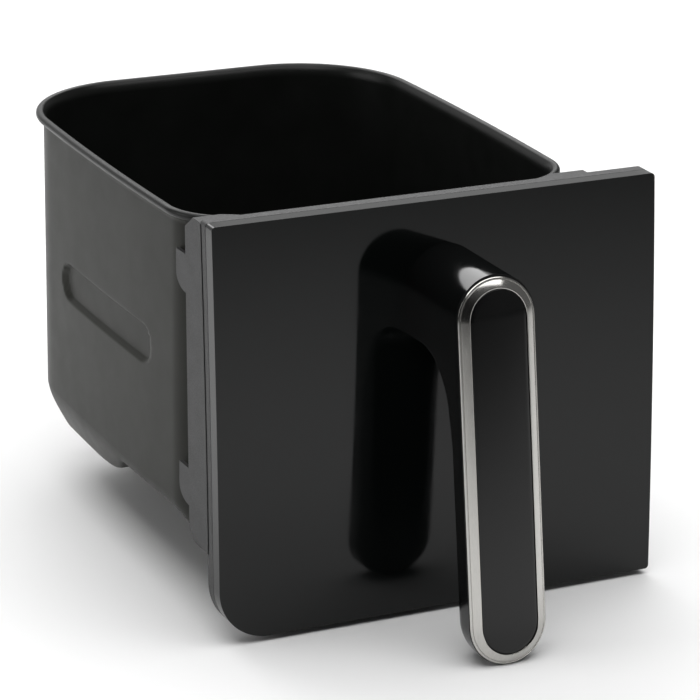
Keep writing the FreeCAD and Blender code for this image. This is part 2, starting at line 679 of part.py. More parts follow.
def slot_hole(x, y):
    """A slot through the plate, long in Y, with round ends."""
    half = (SLOT_LENGTH - SLOT_WIDTH) / 2
    r = SLOT_WIDTH / 2
    low = PLATE_Z - 1
    tall = PLATE_THICK + 2
    hole = box((x - r, y - half, low), (x + r, y + half, low + tall))
    hole = hole.fuse(Part.makeCylinder(r, tall, V(x, y - half, low)))
    return hole.fuse(Part.makeCylinder(r, tall, V(x, y + half, low)))


def plate_form():
    """The crisper plate without its holes: a flat top with a short skirt turned down all round."""
    plate = pan_prism(PLATE_INSET, PLATE_Z - PLATE_SKIRT, PLATE_Z + PLATE_THICK)
    return plate.cut(pan_prism(PLATE_INSET + PLATE_THICK, PLATE_Z - PLATE_SKIRT - 1, PLATE_Z))


def make_crisper_plate():
    mid_y = (PAN_FRONT + PAN_BACK) / 2
    holes = [Part.makeCylinder(FINGER_HOLE_R, PLATE_THICK + 2, V(PAN_MID_X, mid_y, PLATE_Z - 1))]
    for column in range(-SLOT_COLUMNS, SLOT_COLUMNS + 1):
        for row in range(-SLOT_ROWS, SLOT_ROWS + 1):
            at_finger_hole = SLOT_PITCH * math.hypot(column, row) < FINGER_HOLE_R + SLOT_LENGTH / 2
            in_corner = abs(column) == SLOT_COLUMNS and abs(row) == SLOT_ROWS
            if not at_finger_hole and not in_corner:
                holes.append(slot_hole(PAN_MID_X + column * SLOT_PITCH, mid_y + row * SLOT_PITCH))
    return plate_form().cut(Part.makeCompound(holes)).removeSplitter()


def make_bumper(side, y, leg):
    """A silicone bumper that wraps the plate's skirt on one long side."""
    band = pan_prism(PLATE_INSET - BUMPER_PROUD, PLATE_Z - PLATE_SKIRT - BUMPER_LAP - leg,
                     PLATE_Z + PLATE_THICK + BUMPER_LAP)
    band = band.cut(pan_prism(PLATE_INSET + BUMPER_WRAP, 0, RIM_Z))
    near, far = sorted((PAN_MID_X, PAN_MID_X + side * PANEL_WIDTH / 2))
    bumper = band.common(box((near, y - BUMPER_WIDTH / 2, 0), (far, y + BUMPER_WIDTH / 2, RIM_Z)))
    return bumper.cut(plate_form())


PARTS = {
    "pan": make_pan,
    "pan_bracket": make_pan_bracket,
    "bracket_screws": make_bracket_screws,
    "heat_shield": make_heat_shield,
    "insulation_pad": make_insulation_pad,
    "panel_frame": make_panel_frame,
    "front_panel": make_front_panel,
    "panel_screws": make_panel_screws,
    "handle_shell": make_handle_shell,
    "handle_core": make_handle_core,
    "handle_carrier": make_handle_carrier,
    "carrier_screws": make_carrier_screws,
    "handle_trim_ring": make_handle_trim_ring,
    "handle_insert": make_handle_insert,
    "handle_bolts": make_handle_bolts,
    "handle_washers": make_handle_washers,
    "crisper_plate": make_crisper_plate,
}


def main():
    os.makedirs("parts", exist_ok=True)
    shapes = {name: make() for name, make in PARTS.items()}
    for number, (side, y, leg) in enumerate(BUMPERS, 1):
        shapes["crisper_bumper_%d" % number] = make_bumper(side, y, leg)
    whole = Part.makeCompound(list(shapes.values())).optimalBoundingBox()
    move = V(-whole.Center.x, -whole.Center.y, -whole.ZMin)
    print("moved by", [round(v, 3) for v in move])
    for name, shape in shapes.items():
        shape.translate(move)
        b = shape.optimalBoundingBox()
        limits = [round(v, 1) for v in (b.XMin, b.YMin, b.ZMin, b.XMax, b.YMax, b.ZMax)]
        print("%-18s valid %s solids %d" % (name, shape.isValid(), len(shape.Solids)),
              "volume %.0f" % shape.Volume, limits)
        shape.exportStep("parts/%s.step" % name)


main()
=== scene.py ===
import math

import bmesh
import bpy
from mathutils import Matrix, Vector


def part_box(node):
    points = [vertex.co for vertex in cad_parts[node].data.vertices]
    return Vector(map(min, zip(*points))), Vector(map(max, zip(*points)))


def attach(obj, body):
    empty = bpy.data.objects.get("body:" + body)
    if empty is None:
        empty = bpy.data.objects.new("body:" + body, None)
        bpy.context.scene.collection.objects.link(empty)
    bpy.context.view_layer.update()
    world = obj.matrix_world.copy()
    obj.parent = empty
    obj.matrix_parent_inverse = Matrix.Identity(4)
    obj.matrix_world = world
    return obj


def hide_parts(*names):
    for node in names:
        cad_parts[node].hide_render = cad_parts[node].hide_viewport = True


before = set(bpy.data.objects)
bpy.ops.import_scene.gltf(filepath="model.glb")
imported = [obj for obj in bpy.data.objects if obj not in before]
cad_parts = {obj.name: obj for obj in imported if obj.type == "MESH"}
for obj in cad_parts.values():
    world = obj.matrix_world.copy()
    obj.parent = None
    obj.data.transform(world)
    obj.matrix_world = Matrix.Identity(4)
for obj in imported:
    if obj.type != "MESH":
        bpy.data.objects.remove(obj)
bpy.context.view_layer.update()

MM = 0.001
DRAWER = "drawer"

# ---- places taken from the frame -------------------------------------------------------------------

PANEL_LOW, PANEL_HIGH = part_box("front_panel")
PAN_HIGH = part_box("pan")[1]
SHELL_LOW, SHELL_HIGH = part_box("handle_shell")

# everything below is in millimetres from a datum on the middle of the panel's lower front edge
DATUM = Vector(((PANEL_LOW.x + PANEL_HIGH.x) / 2, PANEL_LOW.y, 0.0))

PANEL_WIDTH = (PANEL_HIGH.x - PANEL_LOW.x) / MM
PANEL_BOTTOM = PANEL_LOW.z / MM
PANEL_TOP = PANEL_HIGH.z / MM
PANEL_LEAN = 8.77            # the top edge lies this far behind the bottom edge
PANEL_BULGE = 1.05           # how far the middle stands in front of the line between them
PANEL_THICK = 6.0
PANEL_CORNER_R = 21.0        # the lower left corner
SMALL_R = 1.6                # the other three corners
PANEL_SEAM = 0.15            # the panel and the flange each keep this far from their common face
PANEL_COLUMNS = 36           # points across a row of the slab
FLANGE_DEPTH = 5.0

FRAME_BOTTOM = 35.3
COLLAR_LEFT = -95.0
COLLAR_RIGHT = 72.5
COLLAR_BACK_Y = 29.4         # the back edge, carried down to the table
COLLAR_SLOPE = 0.0316        # how fast the back edge moves back with height
COLLAR_LOW_R = 8.0           # round lower end of the back edge
COLLAR_CUT_Z = 161.5         # the back edge slopes forward above this
COLLAR_CUT = 9.5
COLLAR_SIDE = 26.0           # with the run-out into the flange
COLLAR_DROP = 1.1            # the collar's top lies this far under the panel's
COLLAR_WALL = 1.2            # thinnest wall beside the pan's corner
COLLAR_PLAY = 0.7            # between the collar's hollow and the rim's bead
COLLAR_BITE = 1.2            # how far the collar reaches into the flange
COLLAR_STEPS = 12            # steps along the hollow
TAB_TOPS = (150.2, 63.9)
TAB_REACH = 9.6              # how far a tab stands out behind the collar
TAB_ROOT = 4.0               # how far it reaches into the collar
TAB_STRAIGHT = 9.0
TAB_CURVE = 6.3
TAB_STEP = 0.12              # the tab's face lies this far inside the collar's
TAB_INNER = 1.7              # and its inner side this far

# the pan's outline is the centre line of the rim's bead
BEAD_R = 1.7
PAN_LEFT = -95.6
PAN_RIGHT = 70.2
PAN_FRONT = 25.8
PAN_BACK = 230.7
PAN_MID = (PAN_LEFT + PAN_RIGHT) / 2
PAN_FRONT_R = 25.0
PAN_BACK_R = 48.5
PAN_BOW = 1.2                # how far the long sides bow out in the middle
RIM_Z = PAN_HIGH.z / MM - BEAD_R
RIM_START = 10.0             # degrees round the bead where the inner wall meets it
RIM_TURN = 287.0
WALL_INSET = 1.5
INNER_TOP = 0.6              # the wall's two faces start this far under the bead's centre
OUTER_TOP = 1.6
WALL_FOOT = 50.0             # the foot and the scoops are blended in below this
SHEET = 1.0
CORNER_STEPS = 22
SIDE_STEPS = 70
END_STEPS = 26
RIM_STEPS = 16

# (distance inside the wall, height) of the foot; the rounded one is the outer skin's
FOOT_TAPER = ((0.0, 41.7), (4.0, 34.0), (10.5, 22.5), (21.0, 9.0), (28.5, 2.0), (33.5, 0.0))
FOOT_ROUNDED = ((0.0, 45.0), (0.6, 42.0), (1.7, 38.9), *FOOT_TAPER[1:])
# (y, height) of the scoops' ceiling: steep in front, a flat top, then low to the pan's back
SCOOP_ARCH = ((41.0, -12.0), (42.5, 16.0), (44.0, 33.0), (46.5, 38.6), (51.0, 41.1), (78.0, 41.1),
              (103.0, 41.0), (110.0, 36.9), (121.0, 31.0), (134.0, 27.4), (150.0, 25.3), (190.0, 24.7),
              (232.0, 24.1))
SCOOP_TOP = 42.6             # the ceiling falls from here at the wall towards the pan's middle
SCOOP_SLOPE = 0.78
SCOOP_BLEND = 3.0
# (radius of the blend between foot and scoops at the wall, its growth per millimetre inside the wall)
INNER_BLEND = (0.5, 0.3)
OUTER_BLEND = (2.0, 0.15)
BLEND_LIMIT = 5.0
SKIN_START = 0.3             # share of the sheet's thickness that the inner skin has at the wall
RIB_Y = 119.8
RIB_Z = 100.6
RIB_LENGTH = 97.0
RIB_HEIGHT = 16.5
RIB_DEPTH = 1.8
RIB_SIDE = 8.0               # only points this close to a long side are pressed in
RIB_EDGE_IN = 1.3            # the rib's soft edge, inside and outside its outline
RIB_EDGE_OUT = 0.1
RIB_ROWS = 30                # close rows of the wall across the rib
RIB_ROW_STEP = 0.75
RIB_ROWS_TOP = RIB_Z + 10.9

HANDLE_X = ((SHELL_LOW.x + SHELL_HIGH.x) / 2 - DATUM.x) / MM
BAR_WIDTH = (SHELL_HIGH.x - SHELL_LOW.x) / MM
BAR_LEAN = math.radians(8.12)
BAR_FOOT_Y = -56.0
BAR_HIGH = 150.1
BAR_LENGTH = BAR_HIGH / math.cos(BAR_LEAN)
BAR_THICK = 15.0
BAR_BACK_R = 9.5             # rounding of the bar's back, and of the neck's
NECK_R = 3.0
NECK_BLEND = 15.0            # the one runs into the other from this far under the arch
NECK_TOP = SHELL_HIGH.z / MM
NECK_BOTTOM = 117.3
NECK_BITE = 0.3              # how far the neck reaches into the panel
ARCH_R = 22.0                # under the neck
SHELL_EDGE = 0.05            # the shell's least thickness at its outline
SHELL_COLUMNS = 34
END_ARC_STEPS = 24           # steps round each end of the bar
BAR_SIDE_STEPS = 12

RING_INSET = 0.25
INLAY_INSET = 4.65
INLAY_ROUND = 0.35           # width of the inlay's rounded edge
INLAY_HIGH = 2.38            # where the crown starts
INLAY_CROWN = 0.7
INLAY_STEPS = 8
INLAY_HUB = 0.3              # radius that its flat middle keeps at the ends


def place(x, y, z):
    """A point given in millimetres from the datum, in the frame's metres."""
    return Vector((DATUM.x + x * MM, DATUM.y + y * MM, z * MM))


# ---- mesh helpers ----------------------------------------------------------------------------------

def new_object(name, points, faces):
    """A smooth-shaded mesh object through points in millimetres from the datum."""
    mesh = bpy.data.meshes.new(name)
    mesh.from_pydata([place(*p) for p in points], [], faces)
    mesh.validate()
    obj = bpy.data.objects.new(name, mesh)
    bpy.context.scene.collection.objects.link(obj)
    mesh.polygons.foreach_set("use_smooth", [True] * len(mesh.polygons))
    return obj


def ring_faces(first, second, count, closed=True):
    """Quads between two rows of `count` points that start at the given numbers."""
    last = count if closed else count - 1
    return [(first + i, first + (i + 1) % count, second + (i + 1) % count, second + i) for i in range(last)]


def loft(name, rings, capped):
    """A skin through rings that all have the same number of points, closed at both ends if `capped`."""
    count = len(rings[0])
    points = [p for ring in rings for p in ring]
    faces = []
    for k in range(len(rings) - 1):
        faces += ring_faces(k * count, (k + 1) * count, count)
    if capped:
        start = (len(rings) - 1) * count
        faces.append(tuple(reversed(range(count))))
        faces.append(tuple(range(start, start + count)))
    piece = new_object(name, points, faces)
    outward(piece)
    return piece


def outward(obj):
    """Turns every face of a closed mesh outward."""
    mesh = bmesh.new()
    mesh.from_mesh(obj.data)
    bmesh.ops.recalc_face_normals(mesh, faces=mesh.faces)
    mesh.to_mesh(obj.data)
    mesh.free()


def bevel(obj, width, segments, angle):
    """Rounds the edges that are sharper than `angle` degrees."""
    change = obj.modifiers.new("bevel", "BEVEL")
    change.width = width * MM
    change.segments = segments
    change.limit_method = "ANGLE"
    change.angle_limit = math.radians(angle)
    change.harden_normals = True


def finish_piece(obj, material, node):
    """Gives a detailed piece its material, its body and the CAD node that it replaces."""
    obj.data.materials.append(material)
    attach(obj, DRAWER)
    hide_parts(node)


def smooth_through(points, value):
    """Monotone cubic through (key, height) points, which are in rising order of key."""
    if value <= points[0][0]:
        return points[0][1]
    if value >= points[-1][0]:
        return points[-1][1]
    slopes = [(b[1] - a[1]) / (b[0] - a[0]) for a, b in zip(points, points[1:])]
    tangents = [slopes[0]]
    for left, right in zip(slopes, slopes[1:]):
        tangents.append(0.0 if left * right <= 0 else 2 * left * right / (left + right))
    tangents.append(slopes[-1])
    for k in range(len(slopes)):
        if value <= points[k + 1][0]:
            (x0, y0), (x1, y1) = points[k], points[k + 1]
            h = x1 - x0
            t = (value - x0) / h
            return (y0 * (1 + 2 * t) * (1 - t) ** 2 + h * tangents[k] * t * (1 - t) ** 2
                    + y1 * t * t * (3 - 2 * t) + h * tangents[k + 1] * t * t * (t - 1))


def soft_max(a, b, radius):
    """The larger of two heights, with a rounded crossing."""
    h = max(radius - abs(a - b), 0.0) / radius
    return max(a, b) + h * h * radius * 0.25


def soft_min(a, b, radius):
    """The smaller of two heights, with a rounded crossing."""
    return -soft_max(-a, -b, radius)


def smoothstep(low, high, value):
    """0 below `low`, 1 above `high`, and a soft rise between them."""
    t = min(max((value - low) / (high - low), 0.0), 1.0)
    return t * t * (3 - 2 * t)


# ---- shader helpers --------------------------------------------------------------------------------

def new_material(name, color, roughness, metallic=0.0, specular=0.5):
    """A Principled material; its uniform values go straight on the shader's sockets."""
    material = bpy.data.materials.new(name)
    material.use_nodes = True
    shader = material.node_tree.nodes["Principled BSDF"]
    shader.inputs["Base Color"].default_value = (*color, 1.0)
    shader.inputs["Roughness"].default_value = roughness
    shader.inputs["Metallic"].default_value = metallic
    shader.inputs["Specular IOR Level"].default_value = specular
    return material, shader


def object_noise(material, scale, detail, stretch=(1.0, 1.0, 1.0)):
    """Noise in the object's own coordinates; scale is in features per metre."""
    nodes, links = material.node_tree.nodes, material.node_tree.links
    coords = nodes.new("ShaderNodeTexCoord")
    mapping = nodes.new("ShaderNodeMapping")
    mapping.inputs["Scale"].default_value = stretch
    noise = nodes.new("ShaderNodeTexNoise")
    noise.inputs["Scale"].default_value = scale
    noise.inputs["Detail"].default_value = detail
    noise.inputs["Roughness"].default_value = 0.55
    links.new(coords.outputs["Object"], mapping.inputs["Vector"])
    links.new(mapping.outputs["Vector"], noise.inputs["Vector"])
    return noise.outputs["Fac"]


def ramp(material, source, stops):
    """A colour ramp: stops are (position, colour or grey)."""
    nodes, links = material.node_tree.nodes, material.node_tree.links
    node = nodes.new("ShaderNodeValToRGB")
    elements = node.color_ramp.elements
    while len(elements) < len(stops):
        elements.new(0.5)
    for element, (position, value) in zip(elements, stops):
        element.position = position
        element.color = (value, value, value, 1.0) if isinstance(value, float) else (*value, 1.0)
    links.new(source, node.inputs["Fac"])
    return node.outputs["Color"]


def add_bump(material, shader, source, strength, distance):
    """Fine relief on the shader's normal; the distance is in metres."""
    nodes, links = material.node_tree.nodes, material.node_tree.links
    bump = nodes.new("ShaderNodeBump")
    bump.inputs["Strength"].default_value = strength
    bump.inputs["Distance"].default_value = distance
    links.new(source, bump.inputs["Height"])
    links.new(bump.outputs["Normal"], shader.inputs["Normal"])


def link(material, source, socket):
    """Joins a node's output to a socket of the same material."""
    material.node_tree.links.new(source, socket)


# ---- materials -------------------------------------------------------------------------------------

def make_coating(name, dark, light, roughness_low, roughness_high, specular):
    """Sprayed non-stick coating on steel: fine orange peel, faint cloudiness and patches of roughness."""
    material, shader = new_material(name, dark, roughness_high, specular=specular)
    cloud = object_noise(material, 38.0, 3.0)
    link(material, ramp(material, cloud, ((0.3, dark), (0.7, light))), shader.inputs["Base Color"])
    patches = object_noise(material, 90.0, 4.0)
    rough = ramp(material, patches, ((0.3, roughness_low), (0.7, roughness_high)))
    link(material, rough, shader.inputs["Roughness"])
    peel = object_noise(material, 2600.0, 3.0)
    add_bump(material, shader, peel, 0.22, 0.00012)
    return material


def make_gloss_panel():
    """Piano-black moulded plastic: near mirror finish with faint wipe marks and a slight wave."""
    material, shader = new_material("gloss_black", (0.0020, 0.0026, 0.0025), 0.06, specular=0.33)
    wipes = object_noise(material, 14.0, 6.0, (1.0, 1.0, 3.0))
    link(material, ramp(material, wipes, ((0.35, 0.045), (0.75, 0.10))), shader.inputs["Roughness"])
    wave = object_noise(material, 9.0, 1.0, (2.2, 1.0, 0.5))
    add_bump(material, shader, wave, 0.05, 0.0006)
    return material


def make_fine_texture(name, dark, light, roughness):
    """Spark-eroded matte plastic with a slight mottle."""
    material, shader = new_material(name, dark, roughness, specular=0.45)
    mottle = object_noise(material, 120.0, 5.0)
    link(material, ramp(material, mottle, ((0.3, dark), (0.75, light))), shader.inputs["Base Color"])
    speckle = object_noise(material, 1900.0, 3.0)
    link(material, ramp(material, speckle, ((0.3, roughness - 0.08), (0.7, roughness + 0.08))),
         shader.inputs["Roughness"])
    add_bump(material, shader, speckle, 0.3, 0.00015)
    return material


def make_handle_plastic():
    """High-gloss black plastic of the grip, with faint handling marks."""
    material, shader = new_material("handle_black", (0.0028, 0.003, 0.003), 0.1, specular=0.5)
    marks = object_noise(material, 60.0, 5.0)
    link(material, ramp(material, marks, ((0.35, 0.07), (0.8, 0.14))), shader.inputs["Roughness"])
    wave = object_noise(material, 30.0, 1.0)
    add_bump(material, shader, wave, 0.05, 0.0004)
    return material


def make_brushed_metal(name, color, roughness, stretch, scale=900.0):
    """Brushed metal: long fine lines along one direction."""
    material, shader = new_material(name, color, roughness, metallic=1.0)
    lines = object_noise(material, scale, 4.0, stretch)
    darker = tuple(c * 0.82 for c in color)
    link(material, ramp(material, lines, ((0.3, darker), (0.7, color))), shader.inputs["Base Color"])
    link(material, ramp(material, lines, ((0.25, roughness * 0.8), (0.75, roughness * 1.3))),
         shader.inputs["Roughness"])
    add_bump(material, shader, lines, 0.15, 0.00006)
    return material


def make_inlay():
    """Gloss black inlay of the handle, a little softer than the panel."""
    material, shader = new_material("inlay_gloss", (0.0032, 0.0033, 0.0033), 0.07, specular=0.38)
    clouds = object_noise(material, 45.0, 4.0)
    link(material, ramp(material, clouds, ((0.3, 0.05), (0.7, 0.085))), shader.inputs["Roughness"])
    wave = object_noise(material, 25.0, 1.0)
    add_bump(material, shader, wave, 0.04, 0.0003)
    return material


def make_felt():
    """Pressed insulation felt: long loose fibres with a deep relief."""
    material, shader = new_material("felt", (0.55, 0.54, 0.5), 0.95, specular=0.2)
    fibres = object_noise(material, 700.0, 6.0, (1.0, 1.0, 2.5))
    link(material, ramp(material, fibres, ((0.3, (0.42, 0.41, 0.37)), (0.7, (0.62, 0.6, 0.56)))),
         shader.inputs["Base Color"])
    add_bump(material, shader, fibres, 0.7, 0.0008)
    return material


def make_rubber():
    """Black silicone with a little dust."""
    material, shader = new_material("silicone_black", (0.02, 0.02, 0.02), 0.6, specular=0.4)
    dust = object_noise(material, 300.0, 5.0)
    link(material, ramp(material, dust, ((0.4, (0.018, 0.018, 0.018)), (0.8, (0.035, 0.035, 0.035)))),
         shader.inputs["Base Color"])
    add_bump(material, shader, dust, 0.15, 0.0002)
    return material


# ---- the pan ---------------------------------------------------------------------------------------

def pan_outline(inset):
    """Points of the pan's outline, drawn in by `inset` from the bead's centre line, as (x, y) pairs."""
    left = PAN_LEFT + inset
    right = PAN_RIGHT - inset
    front = PAN_FRONT + inset
    back = PAN_BACK - inset
    r_front = max(PAN_FRONT_R - inset, 5.0)
    r_back = max(PAN_BACK_R - inset, 5.0)
    points = []

    def bowed(x, y_from, y_to, out):
        """A long side, which bows out in the middle."""
        for k in range(SIDE_STEPS):
            t = k / SIDE_STEPS
            points.append((x + out * PAN_BOW * 4 * t * (1 - t), y_from + (y_to - y_from) * t))

    def corner(cx, cy, r, start):
        """A quarter circle, clockwise from an angle in degrees."""
        for k in range(CORNER_STEPS):
            angle = math.radians(start - 90 * k / CORNER_STEPS)
            points.append((cx + r * math.cos(angle), cy + r * math.sin(angle)))

    def straight(x_from, x_to, y):
        """The front or back end."""
        for k in range(END_STEPS):
            points.append((x_from + (x_to - x_from) * k / END_STEPS, y))

    bowed(left, front + r_front, back - r_back, -1)
    corner(left + r_back, back - r_back, r_back, 180)
    straight(left + r_back, right - r_back, back)
    corner(right - r_back, back - r_back, r_back, 90)
    bowed(right, back - r_back, front + r_front, 1)
    corner(right - r_front, front + r_front, r_front, 0)
    straight(right - r_front, left + r_front, front)
    corner(left + r_front, front + r_front, r_front, 270)
    return points


def underside(step, x, y, skin):
    """Height of the pan's skin at a distance `step` inside its wall: tapered foot and side scoops.

    The outer skin (`skin` is 0) turns softly from the wall into the foot. The inner one stays a
    little lower near the wall, clear of the plate's bumpers.
    """
    foot = smooth_through(FOOT_TAPER if skin else FOOT_ROUNDED, step)
    reach = PAN_RIGHT - PAN_MID - WALL_INSET - abs(x - PAN_MID)
    ceiling = soft_min(smooth_through(SCOOP_ARCH, y), SCOOP_TOP - SCOOP_SLOPE * reach, SCOOP_BLEND)
    start, growth = INNER_BLEND if skin else OUTER_BLEND
    height = soft_max(foot, ceiling, min(start + growth * step, BLEND_LIMIT))
    return height + skin * min(SKIN_START + step / 4, 1.0)


def rib_press(x, y, z):
    """How far the wall is pressed in at a point of a long side: a recess with round ends."""
    r = RIB_HEIGHT / 2
    beyond = max(abs(y - RIB_Y) - (RIB_LENGTH / 2 - r), 0.0)
    off = math.hypot(beyond, z - RIB_Z)
    on_side = abs(x - PAN_MID) > PAN_RIGHT - PAN_MID - RIB_SIDE
    return RIB_DEPTH * (1 - smoothstep(r - RIB_EDGE_IN, r + RIB_EDGE_OUT, off)) if on_side else 0.0


def wall_rings(inset, skin, top):
    """Rings of one face of the wall, from just under the rim down to the foot."""
    outline = pan_outline(inset)
    feet = [underside(0.0, x, y, skin) for x, y in outline]
    levels = [top, top - 3, 150, 138, 126, 116]
    levels += [RIB_ROWS_TOP - RIB_ROW_STEP * k for k in range(RIB_ROWS)]
    levels += [86, 76, 66, 56, WALL_FOOT]
    rings = []
    for z in levels:
        ring = []
        for x, y in outline:
            side = 1 if x > PAN_MID else -1
            ring.append((x - side * rib_press(x, y, z), y, z))
        rings.append(ring)
    for share in (0.7, 0.4, 0.2, 0.08):
        rings.append([(x, y, foot + (WALL_FOOT - foot) * share) for (x, y), foot in zip(outline, feet)])
    return rings


def foot_rings(inset, skin):
    """Rings of the tapered foot and the floor, from the wall to the middle."""
    steps = [0, 0.6, 1.3, 2.2, 3.2] + [4.5 + 1.5 * k for k in range(22)] + [39 + 3 * k for k in range(14)]
    rings = []
    for step in steps:
        outline = pan_outline(inset + step)
        rings.append([(x, y, underside(step, x, y, skin)) for x, y in outline])
    return rings


def rim_rings():
    """The rolled bead, from the inner wall's top over and round to the outer wall."""
    rings = []
    for k in range(RIM_STEPS):
        angle = math.radians(RIM_START + RIM_TURN * k / (RIM_STEPS - 1))
        outline = pan_outline(BEAD_R * math.cos(angle))
        rings.append([(x, y, RIM_Z + BEAD_R * math.sin(angle)) for x, y in outline])
    return rings


def make_pan(outside, inside):
    """The pan as one skin, from its floor up the inside, over the rim and down the outside."""
    inner_inset = WALL_INSET + SHEET
    inner = foot_rings(inner_inset, SHEET)[::-1] + wall_rings(inner_inset, SHEET, RIM_Z - INNER_TOP)[::-1]
    outer = wall_rings(WALL_INSET, 0.0, RIM_Z - OUTER_TOP) + foot_rings(WALL_INSET, 0.0)
    rings = inner + rim_rings() + outer
    pan = loft("pan_body", rings, True)
    finish_piece(pan, outside, "pan")
    pan.data.materials.append(inside)
    # the inside's coating also covers the bead; the loft's last two faces are the inner and outer floor
    inner_faces = (len(inner) + RIM_STEPS - 2) * len(rings[0])
    numbers = [1 if i < inner_faces else 0 for i in range(len(pan.data.polygons))]
    numbers[-2] = 1
    pan.data.polygons.foreach_set("material_index", numbers)


# ---- panel and frame -------------------------------------------------------------------------------

def panel_y(z):
    """Y of the panel's convex front at a height."""
    t = (z - PANEL_BOTTOM) / (PANEL_TOP - PANEL_BOTTOM)
    return PANEL_LEAN * t - 4 * PANEL_BULGE * t * (1 - t)


def small_corner(drop):
    """How far a row end is drawn in by a small round corner."""
    return SMALL_R - math.sqrt(max(SMALL_R ** 2 - drop ** 2, 0.0))


def panel_slab(name, near, far, edge):
    """A slab that follows the panel's front, with one large round corner and softened edges."""
    half = PANEL_WIDTH / 2
    low = PANEL_BOTTOM
    high = PANEL_TOP
    r = PANEL_CORNER_R
    rows = [low + r * (1 - math.cos(math.radians(5 * k))) for k in range(19)]
    rows += [low + r + (high - SMALL_R - low - r) * k / 40 for k in range(1, 41)]
    rows += [high - SMALL_R + SMALL_R * math.sin(math.radians(15 * k)) for k in range(1, 7)]
    columns = PANEL_COLUMNS
    points = []
    for depth in (near, far):
        for z in rows:
            drop = max(r - (z - low), 0.0)
            top_drop = max(SMALL_R - (high - z), 0.0)
            low_drop = max(SMALL_R - (z - low), 0.0)
            left = -half + r - math.sqrt(max(r * r - drop * drop, 0.0)) + small_corner(top_drop)
            right = half - small_corner(max(top_drop, low_drop))
            y = panel_y(z) + depth
            points += [(left + (right - left) * k / (columns - 1), y, z) for k in range(columns)]
    faces = []
    layer = len(rows) * columns
    for k in range(len(rows) - 1):
        faces += ring_faces(k * columns, (k + 1) * columns, columns, False)
        faces += ring_faces(layer + (k + 1) * columns, layer + k * columns, columns, False)
        for c in (0, columns - 1):
            a = k * columns + c
            b = a + columns
            faces.append((a, b, b + layer, a + layer) if c == 0 else (b, a, a + layer, b + layer))
    top = (len(rows) - 1) * columns
    faces += [(k + 1, k, k + layer, k + 1 + layer) for k in range(columns - 1)]
    faces += [(top + k, top + k + 1, top + k + 1 + layer, top + k + layer) for k in range(columns - 1)]
    slab = new_object(name, points, faces)
    outward(slab)
    bevel(slab, edge, 3, 50)
    return slab


def collar_back(z):
    """Y of the collar's back edge: rounded at the bottom and sloped forward under the rim."""
    back = COLLAR_BACK_Y + COLLAR_SLOPE * z
    under = FRAME_BOTTOM + COLLAR_LOW_R - z
    if under > 0:
        back -= COLLAR_LOW_R - math.sqrt(max(COLLAR_LOW_R ** 2 - under ** 2, 0.0))
    if z > COLLAR_CUT_Z:
        back -= COLLAR_CUT * (z - COLLAR_CUT_Z) / (PANEL_TOP - COLLAR_CUT_Z)
    return back


def make_collar(side, outer):
    """One deep side of the frame, left (-1) or right (1), hollowed to the pan's rounded corner."""
    r = PAN_FRONT_R + BEAD_R + COLLAR_PLAY
    cx = PAN_LEFT + PAN_FRONT_R if side < 0 else PAN_RIGHT - PAN_FRONT_R
    cy = PAN_FRONT + PAN_FRONT_R
    inner = outer - side * COLLAR_SIDE
    low = FRAME_BOTTOM + COLLAR_LOW_R
    levels = [low - COLLAR_LOW_R * math.cos(math.radians(15 * k)) for k in range(7)]
    levels += [low + (COLLAR_CUT_Z - low) * k / 20 for k in range(1, 21)]
    levels += [COLLAR_CUT_Z + (PANEL_TOP - COLLAR_DROP - COLLAR_CUT_Z) * k / 3 for k in range(1, 4)]
    rings = []
    for z in levels:
        back = collar_back(z)
        flange = panel_y(z) + PANEL_THICK + FLANGE_DEPTH
        front = flange - COLLAR_BITE
        reach = math.sqrt(max(r * r - (cy - back) ** 2, 0.0))
        x_back = cx + side * min(reach, abs(outer - cx) - COLLAR_WALL)
        ring = [(outer, front, z), (outer, back, z)]
        for k in range(COLLAR_STEPS + 1):
            t = k / COLLAR_STEPS
            x = x_back + (inner - x_back) * t
            across = max(side * (x - cx), 0.0)
            y = min(cy - math.sqrt(max(r * r - across * across, 0.0)), back)
            ring.append((x, y - (y - flange) * smoothstep(0.2, 1.0, t), z))
        ring.append((inner, front, z))
        rings.append(ring)
    collar = loft("frame_collar_left" if side < 0 else "frame_collar_right", rings, True)
    for top in TAB_TOPS:
        join_solid(collar, make_tab(outer, side, top))
    bevel(collar, 0.5, 3, 40)
    return collar


def join_solid(body, added):
    """Unites two closed meshes into the first and removes the second."""
    union = body.modifiers.new("union", "BOOLEAN")
    union.operation = "UNION"
    union.solver = "EXACT"
    union.object = added
    bpy.context.view_layer.update()
    joined = bpy.data.meshes.new_from_object(body.evaluated_get(bpy.context.evaluated_depsgraph_get()))
    body.modifiers.remove(union)
    body.data = joined
    bpy.data.objects.remove(added)


def make_tab(outer, side, top):
    """A thin retaining tab that stands out behind the collar, straight above and curved below."""
    edge = COLLAR_BACK_Y + COLLAR_SLOPE * top
    straight_end = top - TAB_STRAIGHT
    profile = [(edge - TAB_ROOT, top), (edge + TAB_REACH, top), (edge + TAB_REACH, straight_end)]
    for k in range(1, 9):
        angle = math.radians(90 * k / 8)
        profile.append((edge + TAB_REACH * math.cos(angle), straight_end - TAB_CURVE * math.sin(angle)))
    profile.append((edge - TAB_ROOT, straight_end - TAB_CURVE))
    sides = (outer - side * TAB_STEP, outer - side * TAB_INNER)
    return loft("tab", [[(x, y, z) for y, z in profile] for x in sides], True)


# ---- the handle ------------------------------------------------------------------------------------

def on_bar(x, along, out):
    """A point in the bar's own frame: across, up the bar from its foot, out from its face."""
    return (HANDLE_X + x, BAR_FOOT_Y + along * math.sin(BAR_LEAN) - out * math.cos(BAR_LEAN),
            along * math.cos(BAR_LEAN) + out * math.sin(BAR_LEAN))


